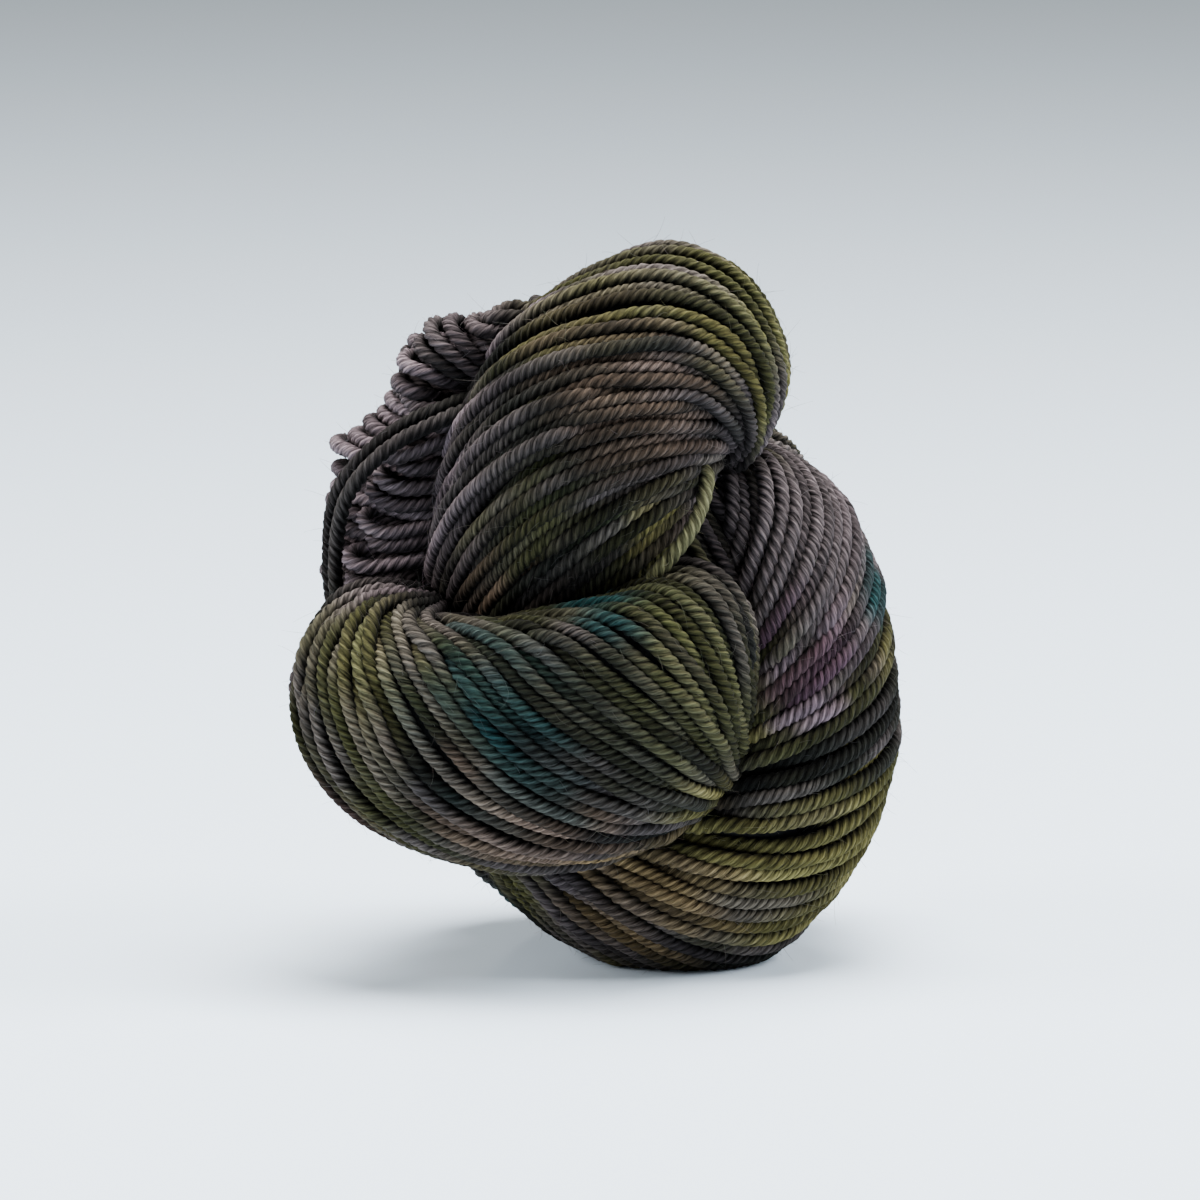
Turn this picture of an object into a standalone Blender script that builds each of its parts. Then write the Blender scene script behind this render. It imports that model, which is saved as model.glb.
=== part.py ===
"""A skein of plied yarn, twisted and coiled into a ball that stands on its side.

One solid, "skein", carries the outer form and the main twists of the wound yarn.
Each twist is a fat bundle of strands.  A bundle is lofted through oval sections,
and the bundles are united with the heart of the ball.  The underside is pressed
flat where it stands.  Units are metres, +Z is up, and the origin lies on the
resting surface, under the middle of the skein.
"""

import math

import bmesh
import bpy
import numpy as np

MM = 0.001

# The skein in its resting place: the tables below are moved by this much (mm).
SHIFT_X = 0.25
SHIFT_Y = -2.4
SINK = 1.6              # how far the round underside is pressed flat

ROUND_ENDS = 0.06       # share of a bundle's length that rounds off each end
TIP_STEPS = (0.0, 0.05, 0.2, 0.5)    # where a rounded end has sections, as shares of it
SECTIONS_PER_ROW = 3    # lofted sections from one row of a table to the next
BLOCK_WIDTH = 200.0     # the block that presses the underside flat
BLOCK_HEIGHT = 20.0

# A row is one oval section across a bundle (mm).  The outer edge lies on the outline
# of the skein, the inner edge towards its middle, and both lie at the depth "mid_y".
# "half_deep" is half the thickness from front (-Y) to back (+Y).
COLUMNS = ("outer_x", "outer_z", "inner_x", "inner_z", "mid_y", "half_deep")

TOP_FOLD = (
    (-26.5, 46.0, 5.0, 46.0, 0.0, 12.0),
    (-29.0, 60.5, 7.5, 57.0, -4.0, 17.0),
    (-29.0, 78.5, 13.0, 70.0, -8.0, 21.0),
    (-24.5, 96.5, 16.5, 80.0, -10.0, 23.0),
    (-16.5, 111.0, 18.5, 86.0, -10.0, 23.0),
    (-4.5, 121.0, 19.5, 89.0, -9.0, 21.5),
    (10.5, 126.5, 20.5, 90.5, -7.0, 19.5),
    (23.0, 122.5, 21.5, 90.5, -5.0, 17.0),
    (30.5, 111.5, 22.0, 89.5, -3.0, 14.0),
    (31.0, 103.0, 21.5, 88.0, -2.0, 11.0),
    (28.0, 95.5, 20.0, 86.0, -2.0, 8.0),
    (24.0, 89.5, 18.0, 84.0, -2.0, 5.0),
)

FRONT_FOLD = (
    (-44.0, 74.5, -10.5, 58.0, -8.0, 9.0),
    (-48.0, 66.5, -1.5, 66.0, -16.0, 14.5),
    (-51.5, 57.0, 5.0, 70.0, -20.5, 17.5),
    (-51.5, 44.5, 11.5, 72.5, -22.5, 18.5),
    (-44.5, 33.5, 17.0, 74.0, -23.5, 19.0),
    (-33.0, 25.5, 22.0, 72.0, -23.5, 19.0),
    (-19.0, 21.5, 25.0, 67.5, -22.5, 18.5),
    (-4.5, 21.5, 26.5, 60.0, -21.0, 17.5),
    (7.5, 25.0, 26.0, 51.0, -18.0, 15.0),
    (15.5, 29.5, 24.5, 42.0, -13.0, 10.0),
)

SIDE_FOLD = (
    (19.5, 89.5, 17.0, 83.5, -1.0, 6.0),
    (29.0, 90.5, 17.0, 76.0, 0.0, 12.5),
    (40.5, 83.5, 15.5, 63.5, 0.0, 18.0),
    (47.5, 70.5, 14.0, 53.0, 0.0, 21.5),
    (50.5, 55.0, 11.0, 44.5, 0.0, 23.0),
    (51.5, 39.5, 8.5, 37.5, 0.0, 23.5),
    (47.5, 24.0, 4.5, 33.5, 0.0, 24.0),
    (39.0, 10.5, -1.5, 31.5, 0.0, 24.0),
    (27.5, 1.0, -8.5, 31.5, 0.0, 23.0),
    (12.5, -1.0, -15.5, 33.0, 0.0, 21.0),
    (-2.0, 3.5, -20.5, 34.5, 1.0, 18.0),
    (-13.5, 11.5, -24.0, 35.5, 4.0, 14.0),
    (-21.5, 20.5, -25.0, 36.5, 6.0, 8.0),
)

LOWER_LOOPS = (
    (-46.5, 60.5, -34.5, 59.5, 6.0, 8.0),
    (-47.5, 69.0, -26.0, 62.0, 6.0, 12.0),
    (-47.5, 79.5, -24.0, 69.0, 6.0, 13.5),
    (-44.5, 88.0, -20.5, 79.5, 6.0, 13.5),
    (-39.0, 94.5, -17.0, 88.0, 6.0, 12.0),
    (-33.5, 96.5, -17.0, 93.5, 6.0, 9.0),
)

UPPER_LOOPS = (
    (-32.5, 95.0, -20.5, 91.0, 5.0, 8.0),
    (-35.0, 100.5, -17.0, 93.5, 5.0, 10.5),
    (-34.0, 107.0, -15.5, 97.0, 4.5, 12.0),
    (-30.0, 110.5, -12.0, 99.0, 4.0, 12.5),
    (-22.5, 112.0, -8.5, 99.5, 2.0, 12.0),
    (-12.0, 113.0, 0.0, 100.0, -3.0, 10.0),
)

BACK_FOLD = (
    (-33.0, 67.0, -12.0, 97.0, 13.0, 9.0),
    (-35.0, 50.0, 6.0, 99.5, 19.0, 15.0),
    (-33.0, 33.0, 22.0, 96.5, 23.5, 18.5),
    (-26.5, 18.5, 34.5, 86.0, 25.5, 20.5),
    (-16.5, 7.0, 43.0, 71.0, 26.0, 21.5),
    (-3.5, -0.5, 48.0, 53.0, 25.0, 21.5),
    (15.5, -1.0, 48.0, 36.0, 22.0, 19.0),
    (28.5, 9.5, 38.5, 23.5, 8.5, 10.0),
)

INNER_FOLD = (
    (-10.0, 14.0, 4.0, 26.0, 4.0, 12.0),
    (-20.0, 18.0, -2.0, 38.0, 4.0, 15.5),
    (-28.5, 27.5, -6.0, 50.0, 4.5, 15.5),
    (-34.0, 40.0, -10.0, 60.0, 5.5, 13.5),
    (-36.5, 52.0, -14.0, 68.0, 6.0, 11.0),
)

# name of the bundle, its rows, and the number of points round each section
BUNDLES = (
    ("top_fold", TOP_FOLD, 22),
    ("front_fold", FRONT_FOLD, 22),
    ("side_fold", SIDE_FOLD, 22),
    ("lower_loops", LOWER_LOOPS, 16),
    ("upper_loops", UPPER_LOOPS, 16),
    ("back_fold", BACK_FOLD, 22),
    ("inner_fold", INNER_FOLD, 16),
)

HEART_CENTRE = (5.0, 4.0, 55.0)
HEART_HALF = (32.0, 26.0, 44.0)

YARN_COLOUR = (0.062, 0.060, 0.052, 1.0)


def clear_scene():
    """Remove every object that the file opened with."""
    for item in list(bpy.data.objects):
        bpy.data.objects.remove(item, do_unlink=True)


def new_collection(name):
    collection = bpy.data.collections.new(name)
    bpy.context.scene.collection.children.link(collection)
    return collection


def yarn_material():
    material = bpy.data.materials.new("yarn")
    material.use_nodes = True
    principled = material.node_tree.nodes["Principled BSDF"]
    principled.inputs["Base Color"].default_value = YARN_COLOUR
    principled.inputs["Roughness"].default_value = 0.9
    principled.inputs["Metallic"].default_value = 0.0
    return material


def smooth_row(rows, place):
    """Read a table at a place between rows, on a Catmull-Rom curve through them."""
    rows = np.array(rows)
    before_first = 2 * rows[0] - rows[1]
    after_last = 2 * rows[-1] - rows[-2]
    padded = np.vstack([before_first, rows, after_last])
    index = min(int(place), len(rows) - 2)
    t = place - index
    a, b, c, d = padded[index:index + 4]
    curve = 2 * b + (c - a) * t + (2 * a - 5 * b + 4 * c - d) * t**2 + (3 * b - a - 3 * c + d) * t**3
    return dict(zip(COLUMNS, curve / 2))


def end_rounding(share):
    """Size of a section, from 0 at a bundle's tip to 1 along its length."""
    from_tip = min(share, 1 - share) / ROUND_ENDS
    if from_tip >= 1:
        return 1.0
    return math.sqrt(1 - (1 - from_tip)**2)


def section_points(row, size, points_round):
    """Points round one oval section, in metres, starting at the outer edge."""
    middle_x = (row["outer_x"] + row["inner_x"]) / 2 + SHIFT_X
    middle_z = (row["outer_z"] + row["inner_z"]) / 2 - SINK
    middle_y = row["mid_y"] + SHIFT_Y
    half_x = (row["outer_x"] - row["inner_x"]) / 2 * size
    half_z = (row["outer_z"] - row["inner_z"]) / 2 * size
    half_y = row["half_deep"] * size
    points = []
    for number in range(points_round):
        angle = 2 * math.pi * number / points_round
        x = middle_x + half_x * math.cos(angle)
        y = middle_y - half_y * math.sin(angle)
        z = middle_z + half_z * math.cos(angle)
        points.append((x * MM, y * MM, z * MM))
    return points


def make_bundle(name, rows, points_round, collection):
    """Loft a closed body through the sections of one table."""
    last = len(rows) - 1
    tip = [ROUND_ENDS * step for step in TIP_STEPS]
    along = np.linspace(ROUND_ENDS, 1 - ROUND_ENDS, last * SECTIONS_PER_ROW + 1)
    shares = tip + list(along) + [1 - share for share in reversed(tip)]

    shape = bmesh.new()
    rings = []
    for share in shares[1:-1]:
        row = smooth_row(rows, share * last)
        points = section_points(row, end_rounding(share), points_round)
        rings.append([shape.verts.new(point) for point in points])
    for ring, following in zip(rings, rings[1:]):
        for number in range(points_round):
            beside = (number + 1) % points_round
            shape.faces.new((ring[number], ring[beside], following[beside], following[number]))
    for ring, share in ((rings[0], 0.0), (rings[-1], 1.0)):
        row = smooth_row(rows, share * last)
        pole = shape.verts.new(section_points(row, 0.0, 1)[0])
        for number in range(points_round):
            shape.faces.new((pole, ring[number], ring[(number + 1) % points_round]))
    bmesh.ops.recalc_face_normals(shape, faces=shape.faces)

    mesh = bpy.data.meshes.new(name)
    shape.to_mesh(mesh)
    shape.free()
    mesh.shade_smooth()
    bundle = bpy.data.objects.new(name, mesh)
    collection.objects.link(bundle)
    hide_helper(bundle)
    return bundle


def hide_helper(item):
    """Show a helper as wire only, and keep it out of renders."""
    item.display_type = "WIRE"
    item.hide_render = True


def move_to(item, collection):
    for holder in list(item.users_collection):
        holder.objects.unlink(item)
    collection.objects.link(item)


def make_heart(collection):
    """The packed yarn in the middle of the ball, which joins the bundles."""
    x, y, z = HEART_CENTRE
    centre = ((x + SHIFT_X) * MM, (y + SHIFT_Y) * MM, (z - SINK) * MM)
    bpy.ops.mesh.primitive_uv_sphere_add(segments=24, ring_count=12, radius=1, location=centre)
    heart = bpy.context.active_object
    heart.name = "skein"
    heart.data.name = "skein"
    heart.scale = [half * MM for half in HEART_HALF]
    bpy.ops.object.transform_apply(location=True, rotation=False, scale=True)
    heart.data.shade_smooth()
    move_to(heart, collection)
    return heart


def make_floor_block(collection):
    """A block under the resting surface, which flattens the underside."""
    bpy.ops.mesh.primitive_cube_add(size=1, location=(0, 0, -BLOCK_HEIGHT / 2 * MM))
    block = bpy.context.active_object
    block.name = "floor_block"
    block.scale = (BLOCK_WIDTH * MM, BLOCK_WIDTH * MM, BLOCK_HEIGHT * MM)
    bpy.ops.object.transform_apply(location=True, rotation=False, scale=True)
    move_to(block, collection)
    hide_helper(block)
    return block


def add_boolean(target, operation, tool):
    """Unite or cut with a helper; a bundle may fold into itself at a tight bend."""
    modifier = target.modifiers.new(f"{operation.lower()}_{tool.name}", "BOOLEAN")
    modifier.operation = operation
    modifier.object = tool
    modifier.solver = "EXACT"
    modifier.use_self = True


def build():
    clear_scene()
    parts = new_collection("skein_of_yarn")
    helpers = new_collection("bundles_and_cutter")

    skein = make_heart(parts)
    skein.data.materials.append(yarn_material())
    for name, rows, points_round in BUNDLES:
        bundle = make_bundle(name, rows, points_round, helpers)
        add_boolean(skein, "UNION", bundle)
    add_boolean(skein, "DIFFERENCE", make_floor_block(helpers))


build()
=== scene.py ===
# %% [markdown]
# # A skein of hand-dyed yarn
# A skein is one very long strand of plied wool, wound into a ring, twisted and folded in
# on itself.  This one is coiled up so far that it has become a ball of fat folds.
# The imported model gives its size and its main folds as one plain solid.  This lesson
# covers that solid with real strands: it lays them along the folds, lets them push each
# other apart, plies them, and dyes them.

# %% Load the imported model
import itertools
import math

import bpy
import numpy as np
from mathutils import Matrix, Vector, noise
from mathutils.bvhtree import BVHTree


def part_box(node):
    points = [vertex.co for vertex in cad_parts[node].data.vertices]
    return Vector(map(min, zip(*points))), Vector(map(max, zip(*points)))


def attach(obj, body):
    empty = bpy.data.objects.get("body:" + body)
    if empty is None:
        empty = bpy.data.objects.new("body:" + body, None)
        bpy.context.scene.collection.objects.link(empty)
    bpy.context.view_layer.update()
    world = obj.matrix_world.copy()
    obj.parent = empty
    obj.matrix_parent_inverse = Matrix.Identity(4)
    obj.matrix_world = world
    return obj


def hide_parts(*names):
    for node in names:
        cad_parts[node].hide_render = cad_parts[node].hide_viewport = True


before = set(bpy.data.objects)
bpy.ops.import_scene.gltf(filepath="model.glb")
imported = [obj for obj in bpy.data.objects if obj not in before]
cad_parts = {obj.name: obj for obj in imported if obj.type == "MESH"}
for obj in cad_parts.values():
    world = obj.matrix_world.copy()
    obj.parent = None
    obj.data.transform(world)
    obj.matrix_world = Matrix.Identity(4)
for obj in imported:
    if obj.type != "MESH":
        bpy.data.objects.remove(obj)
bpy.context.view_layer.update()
skein_low, skein_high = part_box("skein")
for item in bpy.context.selected_objects:
    item.select_set(False)
print("skein, from", skein_low, "to", skein_high)

# %% [markdown]
# ## Camera, table and light
# A camera close to a round thing swells its middle.  This one stands far off with a long
# lens, so the folds keep their proportions, and looks a little down on a pale, slightly
# glossy table.  One large soft lamp overhead does most of the work.  A small one on each
# side picks out the strands, and a dim pale sky opens the shadows.

# %% The camera
SENSOR = 36               # width of the camera's sensor, in millimetres
CAMERA_DISTANCE = 1.5
CAMERA_ELEVATION = math.radians(9)
VIEW_HEIGHT = 0.2064      # what the frame takes in at the skein, from bottom to top
AIM = Vector((0.0003, 0.0, 0.0620))

camera_data = bpy.data.cameras.new("camera")
camera_data.sensor_width = SENSOR
camera_data.lens = SENSOR * CAMERA_DISTANCE / VIEW_HEIGHT
camera = bpy.data.objects.new("camera", camera_data)
bpy.context.scene.collection.objects.link(camera)
from_skein = Vector((0, -math.cos(CAMERA_ELEVATION), math.sin(CAMERA_ELEVATION)))
camera.location = AIM + CAMERA_DISTANCE * from_skein
camera.rotation_euler = (AIM - camera.location).to_track_quat("-Z", "Y").to_euler()
bpy.context.scene.camera = camera
print("lens", round(camera_data.lens), "mm")

# %% The table and the lamps
TABLE_SIZE = 6.0


def plain_finish(name, colour, roughness):
    """A Principled material, and its node tree, nodes and shader to build on."""
    material = bpy.data.materials.new(name)
    material.use_nodes = True
    tree = material.node_tree
    shader = tree.nodes["Principled BSDF"]
    shader.inputs["Base Color"].default_value = (*colour, 1)
    shader.inputs["Roughness"].default_value = roughness
    return material, tree, shader


bpy.ops.mesh.primitive_plane_add(size=TABLE_SIZE, location=(0, 0, 0))
table = bpy.context.active_object
table.name = "table"
table_finish, _, _ = plain_finish("table_white", (0.74, 0.86, 0.99), 0.16)
table.data.materials.append(table_finish)


def soft_lamp(name, place, size, power, colour):
    """A square area lamp that looks at the skein."""
    data = bpy.data.lights.new(name, "AREA")
    data.size = size
    data.energy = power
    data.color = colour
    lamp = bpy.data.objects.new(name, data)
    lamp.location = place
    lamp.rotation_euler = (AIM - Vector(place)).to_track_quat("-Z", "Y").to_euler()
    bpy.context.scene.collection.objects.link(lamp)


soft_lamp("top_lamp", (0.1, 0.1, 1.3), 0.9, 92.0, (1.0, 0.995, 0.985))
soft_lamp("left_lamp", (-0.80, -0.15, 0.50), 0.4, 12.0, (1.0, 0.99, 0.97))
soft_lamp("right_lamp", (0.80, -0.05, 0.60), 0.4, 18.0, (0.97, 0.99, 1.0))

world = bpy.data.worlds.new("room_light")
world.use_nodes = True
sky = world.node_tree.nodes["Background"]
sky.inputs["Color"].default_value = (0.80, 0.84, 0.82, 1)
sky.inputs["Strength"].default_value = 0.32
bpy.context.scene.world = world
print("table", TABLE_SIZE, "m across, and", len(bpy.data.lights), "lamps")

# %% [markdown]
# ## The folds of the skein
# Each fold is a fat bundle of strands.  A row of its table is one oval section across
# the bundle, in millimetres: the outer edge lies on the outline of the skein, the inner
# edge towards its middle, both at the depth `mid_y`, and `half_deep` is half the
# thickness from front to back.  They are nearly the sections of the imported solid: the
# front fold fans out more at its start, as its strands do.  A smooth curve through the
# rows gives a section at any place along the fold.

# %% Where the skein stands, and the tables
SHIFT = np.array([0.25, -2.4, -1.6])   # from the tables' origin to the model's
ROUND_ENDS = 0.06         # share of a fold's length over which an end rounds off

# Each row: outer edge x, z; inner edge x, z; mid_y; half_deep.
TOP_FOLD = np.array((
    (-26.5, 46, 5, 46, 0, 12),
    (-29, 60.5, 7.5, 57, -4, 17),
    (-29, 78.5, 13, 70, -8, 21),
    (-24.5, 96.5, 16.5, 80, -10, 23),
    (-16.5, 111, 18.5, 86, -10, 23),
    (-4.5, 121, 19.5, 89, -9, 21.5),
    (10.5, 126.5, 20.5, 90.5, -7, 19.5),
    (23, 122.5, 21.5, 90.5, -5, 17),
    (30.5, 111.5, 22, 89.5, -3, 14),
    (31, 103, 21.5, 88, -2, 11),
    (28, 95.5, 20, 86, -2, 8),
    (24, 89.5, 18, 84, -2, 5),
    (21, 84, 17, 80, 4, 4),
))

FRONT_FOLD = np.array((
    (-31, 68, -27, 61, -15, 6.5),
    (-44, 67.6, -19, 60.8, -17.5, 11.5),
    (-51.5, 57, 1.5, 67.5, -20.5, 17),
    (-51.5, 44.5, 11.5, 72.5, -22.5, 18.5),
    (-44.5, 33.5, 17, 74, -23.5, 19),
    (-33, 25.5, 22, 72, -23.5, 19),
    (-19, 21.5, 25, 67.5, -22.5, 18.5),
    (-4.5, 21.5, 26.5, 60, -21, 17.5),
    (7.5, 25, 26, 51, -18, 15),
    (15.5, 29.5, 24.5, 42, -13, 10),
    (20, 31, 26, 38, -4, 7),
))

SIDE_FOLD = np.array((
    (19.5, 89.5, 17, 83.5, -1, 6),
    (29, 90.5, 17, 76, 0, 12.5),
    (40.5, 83.5, 15.5, 63.5, 0, 18),
    (47.5, 70.5, 14, 53, 0, 21.5),
    (50.5, 55, 11, 44.5, 0, 23),
    (51.5, 39.5, 8.5, 37.5, 0, 23.5),
    (47.5, 24, 4.5, 33.5, 0, 24),
    (39, 10.5, -1.5, 31.5, 0, 24),
    (27.5, 1, -8.5, 31.5, 0, 23),
    (12.5, -1, -15.5, 33, 0, 21),
    (-2, 3.5, -20.5, 34.5, 1, 18),
    (-13.5, 11.5, -24, 35.5, 4, 14),
    (-21.5, 20.5, -25, 36.5, 6, 8),
))

LOWER_LOOPS = np.array((
    (-46.5, 60.5, -34.5, 59.5, 6, 8),
    (-47.5, 69, -26, 62, 6, 12),
    (-47.5, 79.5, -24, 69, 6, 13.5),
    (-44.5, 88, -20.5, 79.5, 6, 13.5),
    (-39, 94.5, -17, 88, 6, 12),
    (-33.5, 96.5, -17, 93.5, 6, 9),
))

UPPER_LOOPS = np.array((
    (-32.5, 95, -20.5, 91, 5, 8),
    (-35, 100.5, -17, 93.5, 5, 10.5),
    (-34, 107, -15.5, 97, 4.5, 12),
    (-30, 110.5, -12, 99, 4, 12.5),
    (-22.5, 112, -8.5, 99.5, 2, 12),
    (-12, 113, 0, 100, -3, 10),
))

BACK_FOLD = np.array((
    (-33, 67, -12, 97, 13, 9),
    (-35, 50, 6, 99.5, 19, 15),
    (-33, 33, 22, 96.5, 23.5, 18.5),
    (-26.5, 18.5, 34.5, 86, 25.5, 20.5),
    (-16.5, 7, 43, 71, 26, 21.5),
    (-3.5, -0.5, 48, 53, 25, 21.5),
    (15.5, -1, 48, 36, 22, 19),
    (28.5, 9.5, 38.5, 23.5, 8.5, 10),
))

INNER_FOLD = np.array((
    (-10, 14, 4, 26, 4, 12),
    (-20, 18, -2, 38, 4, 15.5),
    (-28.5, 27.5, -6, 50, 4.5, 15.5),
    (-34, 40, -10, 60, 5.5, 13.5),
    (-36.5, 52, -14, 68, 6, 11),
))

HEART_CENTRE = (5.0, 4.0, 55.0)
HEART_HALF = (32.0, 26.0, 44.0)
HEART_LEVELS = (-0.97, -0.85, -0.5, 0.0, 0.5, 0.85, 0.97)


def heart_rows():
    """The egg-shaped heart of the skein as a table of level sections."""
    x, y, z = HEART_CENTRE
    rows = []
    for height in HEART_LEVELS:
        size = math.sqrt(1 - height**2)
        level = z + height * HEART_HALF[2]
        half_wide = size * HEART_HALF[0]
        rows.append((x + half_wide, level, x - half_wide, level, y, size * HEART_HALF[1]))
    return np.array(rows)


HEART = heart_rows()


# %% A point on the surface of a fold
def on_curve(rows, place):
    """Read a table at places between its rows, on a Catmull-Rom curve."""
    padded = np.vstack([2 * rows[0] - rows[1], rows, 2 * rows[-1] - rows[-2]])
    place = np.clip(place, 0, len(rows) - 1)
    index = np.minimum(place.astype(int), len(rows) - 2)
    t = (place - index)[..., None]
    a, b, c, d = (padded[index + step] for step in range(4))
    return (2 * b + (c - a) * t + (2 * a - 5 * b + 4 * c - d) * t**2 + (3 * b - a - 3 * c + d) * t**3) / 2


def on_fold(rows, share, turn, inward=0.0):
    """Points on a fold, in millimetres.

    share runs from 0 to 1 along the fold.  turn runs once round its section: 0 at the
    outer edge, 0.25 in front, 0.5 at the inner edge and 0.75 at the back.  inward is a
    depth under the surface.
    """
    share, turn = np.broadcast_arrays(share, turn)
    row = on_curve(rows, share * (len(rows) - 1))
    outer, inner = row[..., 0:2], row[..., 2:4]
    tip = np.clip(np.minimum(share, 1 - share) / ROUND_ENDS, 0, 1)
    size = np.sqrt(1 - (1 - tip)**2)
    half_wide = np.linalg.norm(outer - inner, axis=-1) / 2
    half_deep = row[..., 5]
    stretch = (half_wide**2 - half_deep**2) / (half_wide**2 + half_deep**2) / 4
    angle = 2 * np.pi * turn + stretch * np.sin(4 * np.pi * turn)
    across = (outer - inner) / 2 * (1 - inward / half_wide)[..., None]
    middle = (outer + inner) / 2
    flat = middle + across * (np.cos(angle) * size)[..., None]
    depth = row[..., 4] - (half_deep - inward) * np.sin(angle) * size
    return np.stack([flat[..., 0], depth, flat[..., 1]], axis=-1) + SHIFT


def girth(rows, share):
    """Length once round the section, in millimetres."""
    row = on_curve(rows, share * (len(rows) - 1))
    half_wide = np.linalg.norm(row[..., 0:2] - row[..., 2:4], axis=-1) / 2
    return 2 * np.pi * np.sqrt((half_wide**2 + row[..., 5]**2) / 2)


for name, rows in (("top", TOP_FOLD), ("front", FRONT_FOLD), ("back", BACK_FOLD)):
    print(f"{name} fold: at most {girth(rows, np.linspace(0, 1, 50)).max():.0f} mm round")

# %% [markdown]
# ## Laying the strands
# In the top, front and back folds the strands run along the bundle and turn slowly round
# it, which is the twist of the skein.  In the side fold and the end loops they run
# across instead: they come out of a crease, go over the outline and vanish into the
# crease behind.  Either way a strand is a line on the fold's surface, in shares and turns.
#
# Where a fold narrows there isn't room for all its strands side by side.  Then some
# dive under their neighbours.  A strand's rank, spread evenly among neighbours by the
# golden ratio, says which ones dive first.

# %% Lines on the folds
YARN = 2.5                # diameter of a strand, in millimetres
STEP = 1.6                # distance between a strand's points while it is being laid
GOLDEN = 0.6180339887
DIVE = 0.9                # how far a strand dives under its neighbours, in strand widths
SOFTNESS = 0.2            # how gradually it dives: 0 is at once
SHORTEST = 12             # readings that a line must have to be worth laying


def soft_step(value):
    value = np.clip(value, 0, 1)
    return value * value * (3 - 2 * value)


def wander(seed, place, wavelength):
    """A smooth random line for each strand, between -1 and 1."""
    seed, place = np.broadcast_arrays(seed, place)
    flat = [noise.noise((p / wavelength, s * 7.31, 0.5)) for s, p in zip(seed.ravel(), place.ravel())]
    return np.array(flat).reshape(place.shape)


def path_length(points):
    return np.linalg.norm(np.diff(points, axis=0), axis=1).sum()


def even_points(points, spacing):
    """The same path with its points at even distances."""
    walked = np.concatenate([[0], np.cumsum(np.linalg.norm(np.diff(points, axis=0), axis=1))])
    count = max(int(round(walked[-1] / spacing)), 3) + 1
    places = np.linspace(0, walked[-1], count)
    return np.stack([np.interp(places, walked, points[:, axis]) for axis in range(3)], axis=1)


def dived(excess):
    """How deep a strand dives; excess is how far its rank is past the room there is."""
    return soft_step(excess / SOFTNESS + 0.5) * YARN * DIVE


def lay_along(rows, count, lay, seed):
    """Strands that run the length of a fold; lay is the turn at each row of its table."""
    share = np.linspace(0.0, 1.0, 121)
    lay_here = np.interp(share * (len(rows) - 1), np.arange(len(rows)), lay)
    room = girth(rows, share) / (count * YARN)
    strands = []
    for number in range(count):
        rank = (number * GOLDEN) % 1
        turn = number / count + lay_here + 0.9 / count * wander(seed + number, share, 0.25)
        lift = wander(seed + number + 500, share, 0.18)
        depth = YARN / 2 + dived(rank - room) + lift
        strands.append(even_points(on_fold(rows, share, turn, depth), STEP))
    return strands


def lay_across(rows, starts, slopes, turns, seed, loose=0.35, under=0.0):
    """Strands that wrap round a fold; a slope is the rows climbed in one whole turn."""
    turn = np.linspace(turns[0], turns[1], 81)
    last = len(rows) - 1
    strands = []
    for number, (row, slope) in enumerate(zip(starts, slopes)):
        place = row + slope * turn + loose * 0.25 * wander(seed + number, turn, 0.2)
        keep = (place > 0.05) & (place < last - 0.05)
        if keep.sum() < SHORTEST:
            continue
        rank = (number * GOLDEN) % 1
        # Towards the creases the wraps crowd, and the ends of an under layer sink.
        crowding = soft_step((np.abs(turn) - 0.16) / 0.2)
        sunk = under * (1 + 1.3 * soft_step((np.abs(turn) - 0.10) / 0.1))
        lift = loose * wander(seed + number + 500, turn, 0.15)
        depth = YARN / 2 + sunk + dived(rank - 1 + 0.55 * crowding) + lift
        strands.append(even_points(on_fold(rows, place / last, turn, depth)[keep], STEP))
    return strands


# %% Strands of each fold
TOP_LAY = (0.0, 0.09, 0.175, 0.26, 0.345, 0.41, 0.45, 0.48, 0.50, 0.52, 0.54, 0.56, 0.57)
FRONT_LAY = (0.03, 0.01, 0.0, 0.0, -0.01, -0.02, -0.03, -0.04, -0.05, -0.06, -0.06)
BACK_LAY = (0.0, 0.04, 0.09, 0.15, 0.22, 0.29, 0.35, 0.40)

top_strands = lay_along(TOP_FOLD, 59, TOP_LAY, seed=100)
front_strands = lay_along(FRONT_FOLD, 70, FRONT_LAY, seed=200)
back_strands = lay_along(BACK_FOLD, 77, BACK_LAY, seed=300)

side_starts = np.linspace(-1.6, 12.0, 58)
side_slopes = np.interp(side_starts, (0.0, 2.0, 3.6, 4.2, 5.0, 6.0, 8.0, 10.0, 12.0),
                        (7.0, 6.0, 3.6, 3.0, 3.8, 5.0, 6.0, 8.0, 9.0))
side_strands = lay_across(SIDE_FOLD, side_starts, side_slopes, (-0.42, 0.46), seed=400, loose=0.6)
# On the outline the fold is at its widest, and a second layer shows between the strands.
between = (side_starts[1:] + side_starts[:-1]) / 2
side_strands += lay_across(SIDE_FOLD, between, side_slopes[1:], (-0.2, 0.22), seed=450, under=1.5)

inner_starts = np.linspace(-0.5, 4.6, 26)
inner_slopes = np.full(len(inner_starts), 0.8)
inner_strands = lay_across(INNER_FOLD, inner_starts, inner_slopes, (-0.1, 0.98), seed=700)
heart_strands = lay_along(HEART, 70, np.linspace(0.0, 0.34, len(HEART)), seed=800)
print(len(side_strands) + len(inner_strands), "wraps, and", len(heart_strands), "strands round the heart")

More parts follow.
